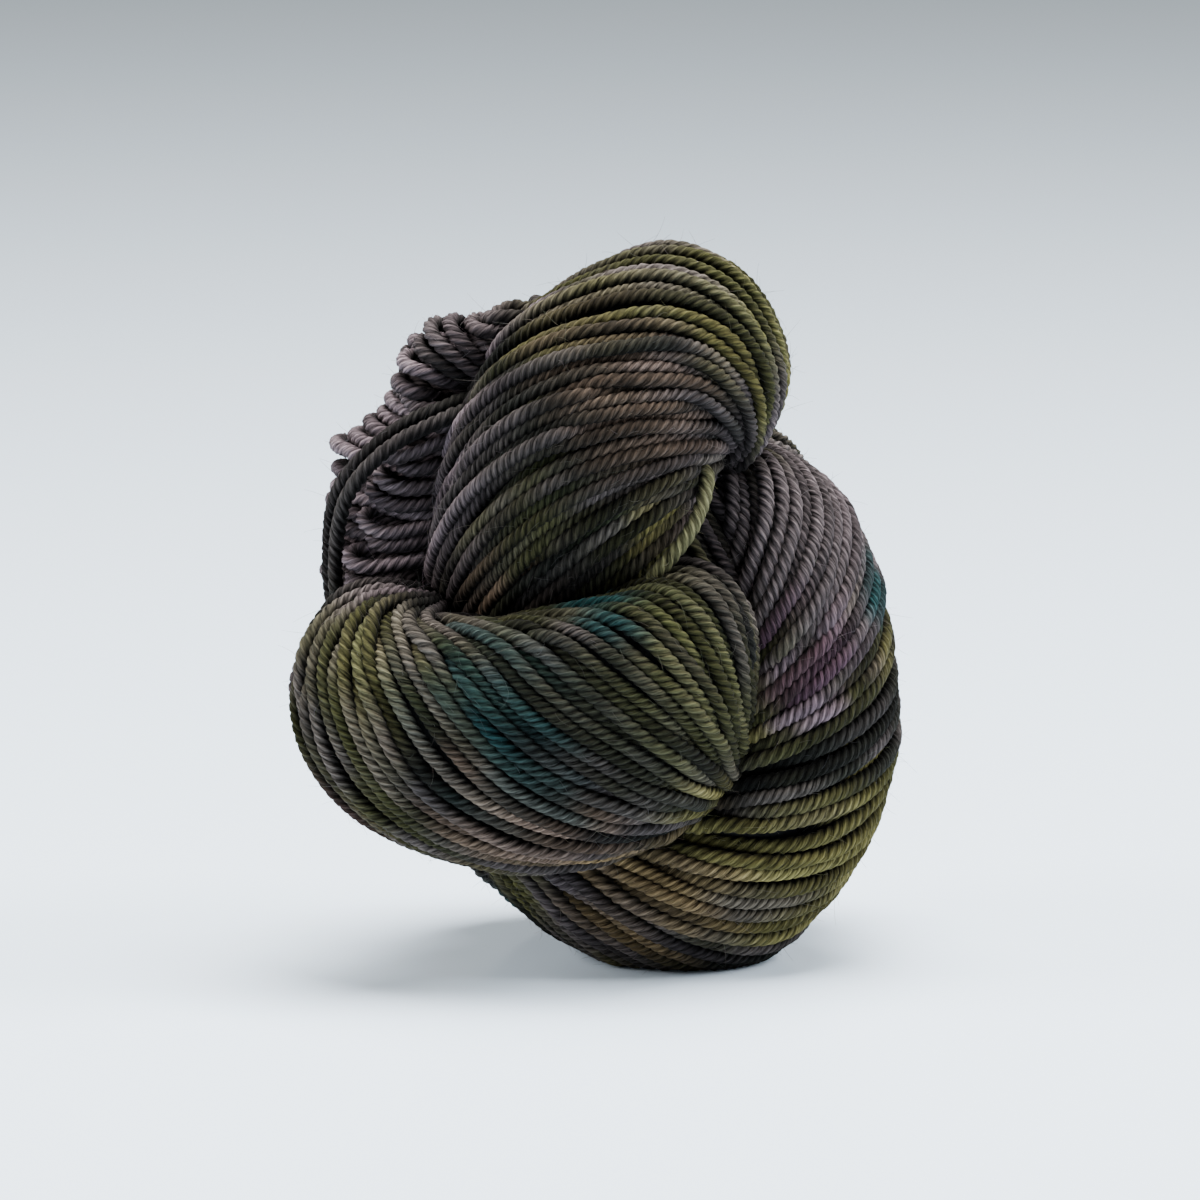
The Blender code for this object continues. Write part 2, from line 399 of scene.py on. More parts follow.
# %% [markdown]
# ## End loops and crossing strands
# Where the ring of yarn was folded, at the upper left, its strands turn back on
# themselves.  Each of these end loops is a hairpin: a front leg that comes out from
# under the top fold, a bend at the tip, and a back leg that goes in again.  The loops in
# front show whole, so each has a row of its own.  The many behind them show only where
# they bend over the outline, so they follow it by a rule, one inside another.  Two strands
# lie across the loops and a pale one across the front, and their routes are listed.

# %% Where the end loops lie
# root_x, root_z: where the front leg comes out.  mid_x, mid_z: halfway along it.
# tip_x, tip_z: the bend.  rise: how much higher the back leg lies.
FRONT_LOOPS = (
    (-22.2, 97.3, -26.1, 95.5, -29.5, 95.4, 2),
    (-26.8, 92.9, -32.7, 90.3, -38, 89.1, 2.6),
    (-27.7, 88.9, -30.6, 87.9, -35.1, 87.7, 2.2),
    (-28.4, 85.1, -33.5, 84.5, -38.9, 86.2, 2.4),
    (-29.2, 82.3, -34.2, 81.4, -40.2, 84, 2.2),
    (-29.2, 78.6, -36.1, 76.6, -41.8, 78.8, 2.5),
    (-29.9, 75.9, -34.6, 74.9, -40.2, 75.2, 1.8),
    (-29.9, 73, -38.4, 70.9, -44.3, 72, 2.6),
    (-30.5, 69.5, -38, 67.8, -44, 68.2, 2),
)

UPPER_FRONT_LOOPS = (
    (-12, 114.2, -16.2, 113.9, -20, 113, -1),
    (-14.6, 111.4, -18.9, 111.4, -22.5, 112, 0.5),
    (-17.5, 106, -19.8, 107.8, -22, 109.4, 1),
    (-18.4, 105.5, -22.7, 109.2, -26.1, 112, 1.5),
    (-19.8, 102.8, -24.9, 107.6, -29.6, 111, 1.8),
    (-22.5, 102.5, -26.8, 106.4, -31.5, 108.2, 1.5),
    (-25.8, 102.2, -29.9, 105.3, -34.1, 105.2, 1.5),
    (-28, 98.4, -31.6, 101.2, -34.6, 101.9, 1.2),
    (-26.5, 97.4, -30.4, 98.2, -33.4, 99.2, 1),
)

# The loops behind them only show where they bend over the outline: x and z of each bend.
LOWER_BENDS = (
    (-32.6, 98.6), (-36, 97.6), (-39.4, 95.6), (-42.2, 93), (-44.8, 89.8), (-46.4, 86.4),
    (-47.2, 82.8), (-47.4, 79.2), (-47.2, 75.4), (-46.8, 71.6), (-46.4, 68), (-46, 64.4), (-45.6, 61),
)
UPPER_BENDS = (
    (-33.2, 96), (-34.6, 99), (-35.2, 102.4), (-34.4, 105.6), (-32.4, 108.2), (-29.4, 110.2),
    (-26, 111.4), (-22.4, 112.4), (-18.8, 113.4), (-15.2, 114.2), (-11.6, 114.6),
)
# One inside another: the y of the front leg, of the back leg, and how far inside the outline.
NESTED_LOOPS = ((-7.5, 17.5, 0.0), (-4.8, 14.8, 2.2), (-2.0, 12.0, 4.6), (0.8, 9.2, 7.0))
BEND_STRAY, ROOT_STRAY, DEPTH_STRAY = 2.4, 7.0, 1.8   # how far loops are out of line, in millimetres


# %% Build the end loops
def strand_on(route, readings):
    """A strand on a smooth curve through a route, with its points a STEP apart."""
    places = np.linspace(0, len(route) - 1, readings)
    return even_points(on_curve(route, places) + SHIFT, STEP)


def hairpin(row, front_y, tip_y, back_y):
    """A strand that comes out in front, bends at its tip and goes in behind."""
    root_x, root_z, mid_x, mid_z, tip_x, tip_z, rise = row
    route = np.array((
        (root_x + 5, front_y + 5, root_z),
        (root_x, front_y + 1.2, root_z),
        (mid_x, front_y, mid_z),
        ((mid_x + 2 * tip_x) / 3, front_y + 0.4, (mid_z + 2 * tip_z) / 3 - 0.2),
        (tip_x, tip_y, tip_z + rise / 3),
        ((mid_x + 2 * tip_x) / 3, back_y, tip_z + rise * 0.8),
        (mid_x, back_y, mid_z + rise),
        (root_x, back_y, root_z + rise),
        (root_x + 5, back_y, root_z + rise),
    ))
    return strand_on(route, 60)


def bent_over(bend, root, front_y, back_y):
    """A strand that comes from its root, bends over the outline and goes back behind."""
    inward = root - bend
    length = np.linalg.norm(inward)
    inward = inward / length
    half = (back_y - front_y) / 2
    bulge = min(1.1 * half, 0.6 * length)
    route = [(*root, front_y)]
    for angle in np.radians(np.linspace(-90, 90, 9)):
        x, z = bend + inward * bulge * (1 - math.cos(angle))
        route.append((x, z, front_y + half * (1 + math.sin(angle))))
    route.append((*root, back_y))
    return strand_on(np.array(route)[:, [0, 2, 1]], 80)


def loops_behind(bends, count, to_root, seed, nested):
    """Loops that follow the outline, one inside another, each a little out of line."""
    loops = []
    spread = on_curve(np.array(bends), np.linspace(0, len(bends) - 1, count))
    away = np.array(to_root) / np.linalg.norm(to_root)
    for layer, (front_y, back_y, inset) in enumerate(nested):
        for number, place in enumerate(spread):
            stray = [noise.noise((seed + number * 3.1, layer * 7.7, axis * 5.3 + 0.4)) for axis in range(4)]
            inside = away * (inset - nested[0][2] + 0.6 + BEND_STRAY * stray[0])
            bend = place + inside + np.array((0, BEND_STRAY * stray[1]))
            root = place + np.array(to_root) + np.array((0, ROOT_STRAY * stray[2]))
            deep = DEPTH_STRAY * stray[3]
            loops.append(bent_over(bend, root, front_y + deep, back_y + deep))
    return loops


front_loops = [hairpin(row, front_y=-11.5, tip_y=-8.8, back_y=-6.2) for row in FRONT_LOOPS]
upper_front_loops = [hairpin(row, front_y=-9.0, tip_y=-4.0, back_y=1.0) for row in UPPER_FRONT_LOOPS]
lower_loops = loops_behind(LOWER_BENDS, 16, to_root=(25, -6), seed=3.0, nested=NESTED_LOOPS)
upper_loops = loops_behind(UPPER_BENDS, 13, to_root=(20, -15), seed=60.0, nested=NESTED_LOOPS[1:])
in_front, behind = front_loops + upper_front_loops, lower_loops + upper_loops
print(len(in_front), "loops in front,", len(behind), "behind")

# %% Strands that lie across
CROSSING_ROUTES = np.array((
    ((-18, -4, 101), (-21.5, -8.5, 99.9), (-26.1, -10.5, 98.7), (-31.5, -11.5, 97.4),
     (-35.3, -12, 95), (-39.2, -12, 91.7), (-42.7, -11, 87.9), (-44.9, -9, 84.4),
     (-45.8, -7, 81.2), (-46.2, -5, 77), (-46.4, -4, 72), (-46.4, -4, 67),
     (-45, -4, 60)),
    ((-18, -5, 99), (-21.8, -10, 98.2), (-25.3, -12, 97), (-29.9, -13, 95.6),
     (-33.7, -14, 94), (-37.2, -14, 91.4), (-40.6, -13.5, 87.9), (-43, -12, 84.1),
     (-44.2, -10, 80.8), (-44.8, -8, 76.5), (-45.2, -7, 72), (-45.2, -7, 67),
     (-44, -7, 60)),
    ((14, -8, 94), (15.8, -14, 92), (17.2, -19, 89.5), (17.8, -22, 86),
     (17, -24.5, 82.5), (14.8, -26, 78.8), (12, -27, 75.2), (8.6, -27.5, 71.4),
     (5.4, -27.5, 68), (2.4, -26.5, 65.2), (0, -23, 63), (-2, -19, 61),
     (-3, -14, 59)),
))
crossing_strands = [strand_on(route, 120) for route in CROSSING_ROUTES]

FOLDS = {
    "top_fold": (TOP_FOLD, top_strands),
    "front_fold": (FRONT_FOLD, front_strands),
    "side_fold": (SIDE_FOLD, side_strands),
    "back_fold": (BACK_FOLD, back_strands),
    "inner_fold": (INNER_FOLD, inner_strands),
    "heart": (HEART, heart_strands),
    "lower_loops": (LOWER_LOOPS, lower_loops + front_loops),
    "upper_loops": (UPPER_LOOPS, upper_loops + upper_front_loops),
    "crossing": (None, crossing_strands),
}
for name, (rows, strands) in FOLDS.items():
    metres = sum(path_length(strand) for strand in strands) / 1000
    print(f"{name}: {len(strands)} strands, {metres:.1f} m")

# %% [markdown]
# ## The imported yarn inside
# Under the outer strands lies the rest of the wool, packed tight.  It only shows as dark
# depth between strands, so it is one smooth body per fold, a strand and a half under the
# surface.  It also tells which strands can be seen at all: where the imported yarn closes
# off every direction, a strand is left out.

# %% Build the inside
INSIDE_DEPTH = 1.5 * YARN
INSIDE_TURNS = 32         # points once round a section
INSIDE_ROWS = 6           # sections for each row of a table
LIFTED = 1.0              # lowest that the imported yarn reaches, in millimetres


def inside_of_fold(rows):
    """Vertices and faces of a closed body under a fold's strands."""
    shares = np.linspace(0, 1, INSIDE_ROWS * len(rows))[1:-1]
    turns = np.arange(INSIDE_TURNS) / INSIDE_TURNS
    grid = on_fold(rows, shares[:, None], turns[None, :], INSIDE_DEPTH)
    # Where a fold opens out like a bottle's shoulder, its sections lie nearly flat along
    # the surface, and the depth inside a section is no depth at all.  The rest is added here.
    skin = on_fold(rows, shares[:, None], turns[None, :])
    outward = np.cross(np.gradient(skin, axis=0), np.roll(skin, -1, axis=1) - np.roll(skin, 1, axis=1))
    outward /= np.maximum(np.linalg.norm(outward, axis=2, keepdims=True), 1e-6)
    outward *= np.sign(np.sum((skin - grid) * outward))
    reached = np.sum((skin - grid) * outward, axis=2, keepdims=True)
    grid -= np.clip(INSIDE_DEPTH - reached, 0, YARN) * outward
    poles = on_fold(rows, np.array([0.0, 1.0]), np.array([0.0, 0.0]))
    vertices = np.vstack([grid.reshape(-1, 3), poles])
    low_pole, high_pole = grid[..., 0].size, grid[..., 0].size + 1
    faces = []
    for ring in range(len(shares) - 1):
        here = ring * INSIDE_TURNS
        above = here + INSIDE_TURNS
        for turn in range(INSIDE_TURNS):
            beside = (turn + 1) % INSIDE_TURNS
            faces.append((here + turn, here + beside, above + beside, above + turn))
    last = low_pole - INSIDE_TURNS
    for turn in range(INSIDE_TURNS):
        beside = (turn + 1) % INSIDE_TURNS
        faces.append((low_pole, beside, turn))
        faces.append((high_pole, last + turn, last + beside))
    return vertices, faces


inside_vertices = np.empty((0, 3))
inside_faces = []
for rows, _ in FOLDS.values():
    if rows is None:
        continue
    vertices, faces = inside_of_fold(rows)
    offset = len(inside_vertices)
    inside_vertices = np.vstack([inside_vertices, vertices])
    inside_faces += [tuple(offset + corner for corner in face) for face in faces]
inside_vertices[:, 2] = np.maximum(inside_vertices[:, 2], LIFTED)
inside_tree = BVHTree.FromPolygons([tuple(v) for v in inside_vertices], inside_faces)
print("packed yarn inside:", len(inside_faces), "faces")


# %% Leave out what can't be seen
def sight_lines(count):
    """Directions spread evenly over a sphere, on a golden spiral."""
    number = np.arange(count) + 0.5
    height = 1 - 2 * number / count
    radius = np.sqrt(1 - height**2)
    angle = 2 * np.pi * GOLDEN * number
    lines = np.stack([radius * np.cos(angle), radius * np.sin(angle), height], axis=1)
    return [Vector(line) for line in lines]


SIGHT = sight_lines(40)
FAR_OFF = 200.0           # farther than the skein is wide, in millimetres
MARGIN = 3                # points kept past each end of what can be seen
FEWEST = 5                # points in the shortest run that is kept


def open_side(point):
    """The share of all directions from which a point can be seen, and their middle."""
    start = Vector(point)
    free = [line for line in SIGHT if inside_tree.ray_cast(start, line, FAR_OFF)[0] is None]
    facing = np.sum([tuple(line) for line in free], axis=0) if free else np.zeros(3)
    return len(free) / len(SIGHT), facing / max(np.linalg.norm(facing), 0.001)


def visible_runs(strand):
    """The stretches of a strand that show, with a margin at both ends."""
    seen = np.array([open_side(point)[0] > 0 for point in strand])
    spread = np.convolve(seen, np.ones(2 * MARGIN + 1), "same") > 0
    edges = np.flatnonzero(np.diff(np.concatenate([[0], spread, [0]])))
    return [(a, b) for a, b in zip(edges[::2], edges[1::2]) if b - a >= FEWEST]


runs = []          # [fold name, strand number, points, number of the first point]
strand_number = 0
for name, (rows, strands) in FOLDS.items():
    for strand in strands:
        strand_number += 1
        for first, beyond in visible_runs(strand):
            runs.append([name, strand_number, strand[first:beyond], first])
seen_length = sum(path_length(run[2]) for run in runs) / 1000
print(len(runs), "runs,", round(seen_length, 1), "m that can be seen")

# %% [markdown]
# ## Letting the strands settle
# Laid by rule, the strands cut through each other where folds meet.  Real ones push each
# other aside.  So each round of settling moves apart any two points of different
# strands that are closer than a strand's width, pulls every point softly back to
# where it was laid, and evens out each strand's bends.  The table holds them up.

# %% Settle
ROUNDS = 30
PULL_BACK = 0.06          # share of the way back to where it was laid, each round
STIFFNESS = 0.35          # share of the way to the middle of its two neighbours
PRESSED = 0.97            # how near two strands may lie, in strand widths
HASTE = 1.3               # how much of a push is carried out at once
TINY = 0.05               # least distance that a push is worked out from, in millimetres
LOWEST = YARN / 2 * 0.8   # a strand on the table is pressed a little flat
CELLS = 4096              # more cells than the skein is wide, along each axis


def close_pairs(points, reach):
    """All pairs of points nearer than reach, found by sorting them into cells."""
    cell = np.floor(points / reach).astype(np.int64) + CELLS // 4
    key = (cell[:, 0] * CELLS + cell[:, 1]) * CELLS + cell[:, 2]
    order = np.argsort(key, kind="stable")
    sorted_key = key[order]
    firsts, seconds = [], []
    for x, y, z in itertools.product((-1, 0, 1), repeat=3):
        if (x, y, z) < (0, 0, 0):
            continue
        wanted = key + (x * CELLS + y) * CELLS + z
        begin = np.searchsorted(sorted_key, wanted, "left")
        stop = np.searchsorted(sorted_key, wanted, "right")
        most = int((stop - begin).max())
        for slot in range(most):
            some = np.flatnonzero(begin + slot < stop)
            other = order[begin[some] + slot]
            if (x, y, z) == (0, 0, 0):
                keep = other > some
                some, other = some[keep], other[keep]
            firsts.append(some)
            seconds.append(other)
    first, second = np.concatenate(firsts), np.concatenate(seconds)
    gap = points[first] - points[second]
    near = (gap**2).sum(axis=1) < reach**2
    return first[near], second[near]


points = np.vstack([run[2] for run in runs])
laid = points.copy()
strand_of = np.concatenate([np.full(len(run[2]), run[1]) for run in runs])
run_of = np.concatenate([np.full(len(run[2]), index) for index, run in enumerate(runs)])
inner = np.flatnonzero((run_of[1:-1] == run_of[:-2]) & (run_of[1:-1] == run_of[2:])) + 1

for round_number in range(ROUNDS):
    first, second = close_pairs(points, YARN)
    apart = strand_of[first] != strand_of[second]
    first, second = first[apart], second[apart]
    gap = points[first] - points[second]
    distance = np.linalg.norm(gap, axis=1)
    overlap = (YARN * PRESSED - distance).clip(0)
    push = gap / np.maximum(distance, TINY)[:, None] * (overlap / 2)[:, None]
    moved = np.zeros_like(points)
    for axis in range(3):
        moved[:, axis] += np.bincount(first, push[:, axis], len(points))
        moved[:, axis] -= np.bincount(second, push[:, axis], len(points))
    counts = np.bincount(first, minlength=len(points)) + np.bincount(second, minlength=len(points))
    points += moved / np.maximum(counts, 1)[:, None] * HASTE
    points += (laid - points) * PULL_BACK
    middle = (points[inner - 1] + points[inner + 1]) / 2
    points[inner] += (middle - points[inner]) * STIFFNESS
    points[:, 2] = np.maximum(points[:, 2], LOWEST)
moved_by = np.linalg.norm(points - laid, axis=1).mean()
print("settled", len(points), "points; moved on average", round(float(moved_by), 2), "mm")

start = 0
for run in runs:
    run[2] = points[start:start + len(run[2])]
    start += len(run[2])

# %% [markdown]
# ## Plying
# The yarn is four thin strands twisted round each other, in the direction of the letter S.
# A cross-section has four humps, and it turns as it moves along.  The rows of faces then
# follow the plies, so twelve points a section are enough: one in each groove between
# two plies, and two on each hump.

# %% Make the plied strands
MM = 0.001                # metres in a millimetre
RING_STEP = 0.85          # distance between sections, in millimetres
COARSE_STEP = 1.1         # the same on the folds at the back and inside
COARSE_FOLDS = ("back_fold", "heart", "inner_fold")
PLY_PITCH = 7.0           # usual length of one whole turn of the ply
PLIES = 4
A_PLY = 3                 # points of a section for each ply, the first of them in a groove
SECTION = A_PLY * PLIES
FLOOR_GAP = 0.05          # lowest that a strand reaches, in millimetres
UNEVEN = 0.03             # how much the surface of a ply wavers, as a share of its radius
GROOVE = 0.74             # radius in a groove, as a share of the radius on a hump


def smooth_path(path, spacing):
    """Points at even distances on a smooth curve through the path."""
    places = np.linspace(0, len(path) - 1, 4 * (len(path) - 1) + 1)
    return even_points(on_curve(path, places), spacing)


def walked_along(path):
    """How far along the path each of its evenly spaced points lies."""
    return np.arange(len(path)) * np.linalg.norm(path[1] - path[0])


def carry_frames(path):
    """Two directions across the path at each point, carried along without twisting."""
    along = np.gradient(path, axis=0)
    along /= np.linalg.norm(along, axis=1)[:, None]
    side = np.empty_like(path)
    guess = np.array([0.3, 0.5, 0.8])
    for index, direction in enumerate(along):
        guess = guess - direction * (guess @ direction)
        guess = guess / np.linalg.norm(guess)
        side[index] = guess
    return side, np.cross(along, side)


def rings_round(path, side, other, reach, angle):
    """Rings of points round a path, at a reach and an angle for each point."""
    return path[:, None, :] + reach[..., None] * (
        np.cos(angle)[..., None] * side[:, None, :] + np.sin(angle)[..., None] * other[:, None, :])


def ply_strand(path, seed, radius):
    """Rings of points round a path, turned so that the humps run as an S-twist."""
    side, other = carry_frames(path)
    walked = walked_along(path)
    pitch = PLY_PITCH * (1 + 0.16 * math.sin(seed * 5.3))
    twist = seed * 2.4 - 2 * np.pi * walked / pitch + 0.8 * wander(seed, walked, 12.0)
    angle = twist[:, None] + 2 * np.pi * np.arange(SECTION)[None, :] / SECTION
    groove = GROOVE + 0.12 * wander(seed + 0.5, walked, 6.0)
    in_groove = np.arange(SECTION) % A_PLY == 0
    uneven = 1 + UNEVEN * np.random.default_rng(int(seed * 1000)).normal(size=(len(path), SECTION))
    reach = radius[:, None] * np.where(in_groove[None, :], groove[:, None], 1.0) * uneven
    return rings_round(path, side, other, reach, angle)


# %% The mesh of the strands
def strand_faces(path, offset):
    """Faces of one closed strand, and their places on a map along and round it.

    A cap's triangles are written as quads with their last corner doubled.
    """
    corner = np.arange(SECTION)
    beside = (corner + 1) % SECTION
    count = len(path)
    base = offset + np.arange(count - 1)[:, None] * SECTION
    top = offset + (count - 1) * SECTION
    low = np.full(SECTION, top + SECTION)
    high = low + 1
    faces = np.concatenate([
        np.stack([base + corner, base + beside, base + SECTION + beside, base + SECTION + corner],
                 axis=-1).reshape(-1, 4),
        np.stack([low, offset + beside, offset + corner, offset + corner], axis=-1),
        np.stack([high, top + corner, top + beside, top + beside], axis=-1)])
    walked = walked_along(path)
    along_low = np.repeat(walked[:-1, None], SECTION, axis=1)
    along_high = along_low + walked[1]
    round_low = np.broadcast_to(corner / SECTION, along_low.shape)
    round_high = round_low + 1 / SECTION
    strip = np.stack([along_low, round_low, along_low, round_high,
                      along_high, round_high, along_high, round_low], axis=-1)
    cap_uv = np.zeros((2 * SECTION, 4, 2))
    cap_uv[SECTION:, :, 0] = walked[-1]
    return faces, np.vstack([strip.reshape(-1, 4, 2), cap_uv])


def mesh_from(name, points, faces, uv):
    """A mesh from arrays, where a face with its last corner doubled is a triangle."""
    is_cap = faces[:, 2] == faces[:, 3]
    kept = np.ones(faces.shape, bool)
    kept[:, 3] = ~is_cap
    sizes = np.where(is_cap, 3, 4)
    mesh = bpy.data.meshes.new(name)
    mesh.vertices.add(len(points))
    mesh.vertices.foreach_set("co", points.ravel())
    mesh.loops.add(int(kept.sum()))
    mesh.loops.foreach_set("vertex_index", faces[kept].astype(np.int32))
    mesh.polygons.add(len(faces))
    starts = np.concatenate([[0], np.cumsum(sizes)[:-1]])
    mesh.polygons.foreach_set("loop_start", starts.astype(np.int32))
    mesh.update(calc_edges=True)
    layer = mesh.uv_layers.new(name="strand")
    layer.uv.foreach_set("vector", uv[kept].astype(np.float32).ravel())
    mesh.validate()
    mesh.shade_smooth()
    return mesh


def mesh_of_strands(name, paths, radii, seeds):
    """One mesh of many closed strands, and the rings of points of each."""
    points, faces, uv, rings = [], [], [], []
    offset = 0
    for path, radius, seed in zip(paths, radii, seeds):
        ring = ply_strand(path, seed, radius)
        ring[..., 2] = np.maximum(ring[..., 2], FLOOR_GAP)
        points += [ring.reshape(-1, 3), path[[0, -1]]]
        new_faces, new_uv = strand_faces(path, offset)
        faces.append(new_faces)
        uv.append(new_uv)
        rings.append(ring)
        offset += len(path) * SECTION + 2
    return mesh_from(name, np.vstack(points) * MM, np.vstack(faces), np.vstack(uv)), rings


def write_dye_and_shade(mesh, colours):
    """Give each point of a mesh its colour: the dye, with the painted shade in it."""
    colours = np.hstack([colours, np.ones((len(colours), 1))]).astype(np.float32)
    attribute = mesh.color_attributes.new("dye_and_shade", "FLOAT_COLOR", "POINT")
    attribute.data.foreach_set("color", colours.ravel())


def paint_dye_and_shade(mesh, paths, rings, seeds):
    """Write the dye to the mesh, with painted shade on the sides and underside of each strand."""
    values = []
    for path, ring, seed in zip(paths, rings, seeds):
        colour, facing = dye_and_shade_of(path, seed)
        # Painted shade: darker where a point of a ring faces away from the strand's open side, and on the
        # end caps.
        outward = ring - path[:, None, :]
        outward /= np.linalg.norm(outward, axis=2)[..., None]
        crest = (outward * facing[:, None, :]).sum(axis=2)
        light = CREST_DARK + (1 - CREST_DARK) * soft_step(crest + 0.1)
        values.append((colour[:, None, :] * light[..., None]).reshape(-1, 3))
        values.append(colour[[0, -1]] * CREST_DARK)
    write_dye_and_shade(mesh, np.vstack(values))


# %% [markdown]
# ## Dye and painted shade
# Hand-dyed wool takes its colour in patches.  Neighbouring strands share a patch, but
# each one lay a little differently in the dye bath, so patches shift and fade from
# strand to strand.  The ground is charcoal that turns olive and mauve.  On it lie patches
# of stronger dye, each with a place, a reach and a strength.  Among them are patches of
# painted shade, near black, in the creases, and one that is partly painted light from the
# table.  Shade is also painted into the colour deep in a crease and on the sides and
# underside of each strand.

# %% The dyes, and painted shade
DYES_AND_SHADE = {
    # The first colour is not a dye: it is painted shade, near black, for creases and lips in shadow.
    "painted_shade": (0.0030, 0.0031, 0.0026),
    "charcoal": (0.0105, 0.0110, 0.0088),
    "mauve_grey": (0.048, 0.039, 0.040),
    "olive": (0.036, 0.036, 0.0130),
    "yellow_olive": (0.080, 0.071, 0.024),
    "sage": (0.088, 0.086, 0.042),
    "ochre": (0.105, 0.070, 0.027),
    "teal": (0.0050, 0.0230, 0.0240),
    "plum": (0.040, 0.017, 0.030),
    "pale_mauve": (0.104, 0.080, 0.088),
    "rose": (0.125, 0.088, 0.108),
    "tan": (0.088, 0.059, 0.042),
    "bottle_green": (0.0090, 0.0180, 0.0085),
}
DYES_AND_SHADE = {name: np.array(colour) for name, colour in DYES_AND_SHADE.items()}

# dye, x, y, z of the patch's middle (mm), reach (mm), strength.  Some patches are painted
# shade, near black, on creases and on lips in shadow.  At full strength every strand takes
# the dye, otherwise only some do.
DYE_AND_PAINTED_LIGHT_PATCHES = (
    ("bottle_green", -50, -20, 48, 18, 0.9),
    ("painted_shade", -28, -22, 65, 9, 1),
    ("painted_shade", 18, -10, 86, 8, 1),
    ("painted_shade", 20, -22, 34, 10, 1),
    ("painted_shade", -14, -28, 80, 24, 0.45),
    ("charcoal", 2, -38, 46, 26, 0.8),
    ("painted_shade", -4, -38, 46, 22, 0.5),
    ("painted_shade", 36, -18, 42, 20, 0.6),
    ("painted_shade", 6, -24, 70, 18, 0.5),
    ("painted_shade", 16, -30, 60, 22, 0.6),
    ("bottle_green", 4, -24, 74, 18, 0.6),
    ("olive", 28, -10, 108, 22, 0.9),
    ("olive", 16, -16, 74, 14, 0.8),
    ("olive", 20, -32, 56, 20, 0.8),
    ("olive", 44, -10, 40, 26, 0.9),
    ("yellow_olive", -42, -30, 50, 16, 0.4),
    ("yellow_olive", 46, -12, 58, 9, 0.8),
    ("yellow_olive", 34, -20, 22, 24, 0.9),
    ("yellow_olive", 24, -18, 8, 18, 0.8),
    # This patch is partly the yellow olive dye and partly painted light: the table's bounce on the bottom
    # of the side fold.
    ("yellow_olive", 44, -6, 22, 16, 0.7),
    ("yellow_olive", 13, -28, 79, 8, 0.9),
    ("yellow_olive", -6, -24, 118, 14, 0.6),
    ("yellow_olive", 28, -12, 112, 18, 0.8),
    ("mauve_grey", 36, -14, 78, 24, 1),
    ("mauve_grey", -38, 0, 90, 30, 1),
    ("pale_mauve", -40, -5, 80, 23, 0.9),
    ("pale_mauve", -28, -6, 107, 20, 0.8),
    ("pale_mauve", 34, -12, 12, 16, 0.6),
    ("pale_mauve", 46, -4, 70, 14, 0.3),
    ("mauve_grey", 4, -28, 106, 20, 0.6),
    ("mauve_grey", -2, -40, 52, 16, 0.5),
    ("mauve_grey", 12, -24, 14, 20, 0.7),
    ("tan", -15, -24, 66, 10, 0.7),
    ("tan", 4, -26, 102, 14, 0.6),
    ("tan", 10, -26, 84, 8, 0.6),
    ("ochre", -28, -38, 33, 16, 0.8),
    ("tan", -12, -38, 29, 14, 0.7),
    ("ochre", 10, -24, 18, 14, 0.7),
    ("plum", -36, -34, 32, 13, 0.6),
    ("plum", 36, -20, 54, 10, 0.7),
    ("rose", 42, -14, 56, 7, 0.8),
    ("rose", 34, -20, 47, 6, 0.9),
    ("teal", 47, -8, 67, 6.5, 0.95),
    ("teal", 2, -34, 62, 7, 0.95),
    ("teal", -22, -40, 50, 14, 0.7),
    ("teal", -12, -42, 38, 11, 0.6),
    ("teal", -18, 10, 10, 18, 0.8),
)
DYE_AND_SHADE_STEP = 3              # rings from one reading of the dye and painted shade to the next
SHADE_LOW, SHADE_HIGH = 0.10, 0.44   # painted shade: open side of a place in full shade, and in none
SHADE_DARK = 0.12         # painted shade: what is left of the colour at the bottom of a crease
CREST_DARK = 0.14         # painted shade: what is left of it on the underside of a strand

PALE_STRAND = strand_number          # it crosses in front of the top fold
DARK_STRANDS = (strand_number - 2, strand_number - 1)   # they cross the end loops


def blend(colour, dye_and_shade, share):
    return colour * (1 - share) + DYES_AND_SHADE[dye_and_shade] * share


def dye_and_shade_at(place, seed, walked):
    """The dye of a strand at one place of the skein, with its patches of painted shade."""
    own = math.sin(seed * 12.9898)
    other = math.sin(seed * 78.233 + 1.3)
    drift = Vector((place[0], place[1], place[2] + 3 * own))
    slow = noise.noise((seed * 3.7, walked / 28, 2.0))
    quick = noise.noise((seed * 5.1, walked / 10, 9.0))
    to_olive = soft_step(0.46 + 1.1 * noise.noise(drift / 24) + 0.42 * own + 0.9 * slow)
    elsewhere = drift / 21 + Vector((9, 4, 7))
    to_mauve = soft_step(0.24 + 1.1 * noise.noise(elsewhere) + 0.40 * other + quick)
    colour = blend(DYES_AND_SHADE["charcoal"], "olive", to_olive)
    colour = blend(colour, "mauve_grey", 0.75 * to_mauve)
    for index, (dye_and_shade, x, y, z, reach, strength) in enumerate(DYE_AND_PAINTED_LIGHT_PATCHES):
        askew = Vector([math.sin(seed * 17.3 + index * 4.7 + axis * 2.1) for axis in range(3)])
        askew = askew * 0.3 * reach
        near = 1 - (drift + askew - Vector((x, y, z))).length / (1.3 * reach)
        if near > 0:
            taken = 1.0
            if strength < 1.0:
                taken = soft_step(0.45 + 0.8 * math.sin(seed * 31.7 + index * 2.1) + 0.9 * slow)
            colour = blend(colour, dye_and_shade, soft_step(near * 2.0) * strength * taken)
    if int(seed) == PALE_STRAND:
        colour = blend(colour, "sage", 0.85)
    if int(seed) in DARK_STRANDS:
        colour = blend(colour, "charcoal", 0.75)
    return colour * max(1 + 0.5 * quick + 0.36 * other, 0.25)


